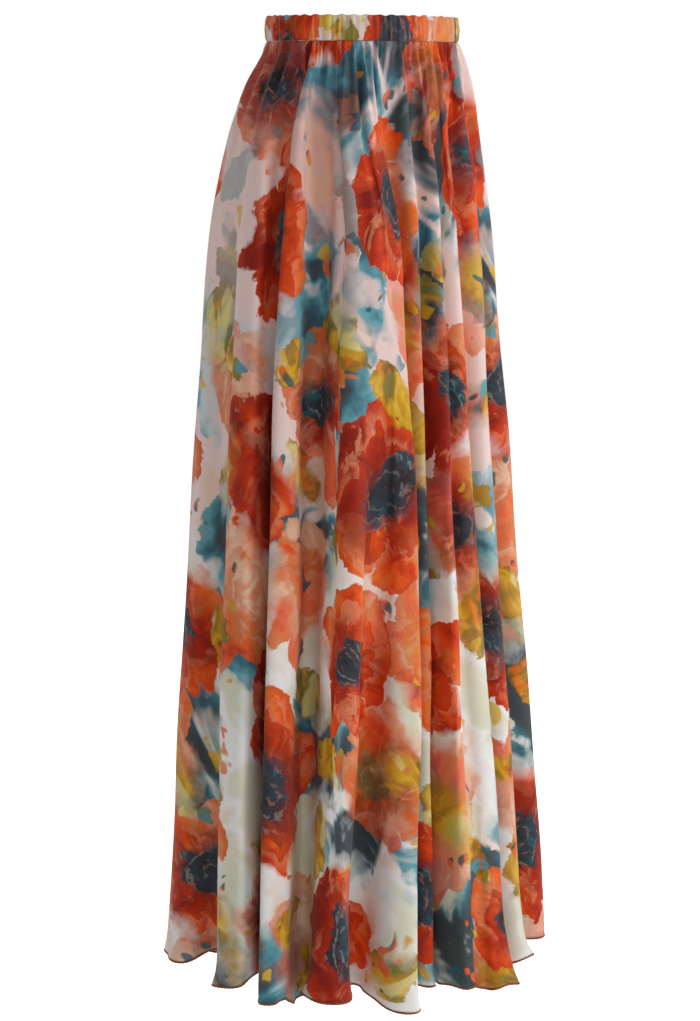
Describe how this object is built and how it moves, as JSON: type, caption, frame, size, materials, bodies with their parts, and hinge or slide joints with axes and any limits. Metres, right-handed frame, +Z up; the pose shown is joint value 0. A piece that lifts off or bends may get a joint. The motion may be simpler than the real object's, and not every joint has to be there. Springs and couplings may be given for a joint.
{
  "type": "maxi skirt",
  "caption": "Floor-length gathered skirt of floral chiffon with an elastic waistband, flared front and back panels and a narrow rolled hem.",
  "frame": {"origin": "the middle of the waistband at half its height, where the wearer's waist holds the skirt", "axes": "+Z up out of the waist, -Y to the front of the skirt, -X to the wearer's right side"},
  "size_m": [0.49, 0.3555, 0.9889],
  "materials": {
    "panel_chiffon": "sheer matt chiffon with a soft sheen, printed with large loose orange flowers, teal and mustard leaves on a pale ground",
    "waistband_chiffon": "the same printed chiffon, ruched over elastic",
    "hem_thread": "fine rust-brown overlock thread"
  },
  "bodies": {
    "root": {"waistband": "waistband_chiffon", "front_panel": "panel_chiffon", "back_panel": "panel_chiffon"}
  },
  "joints": []
}
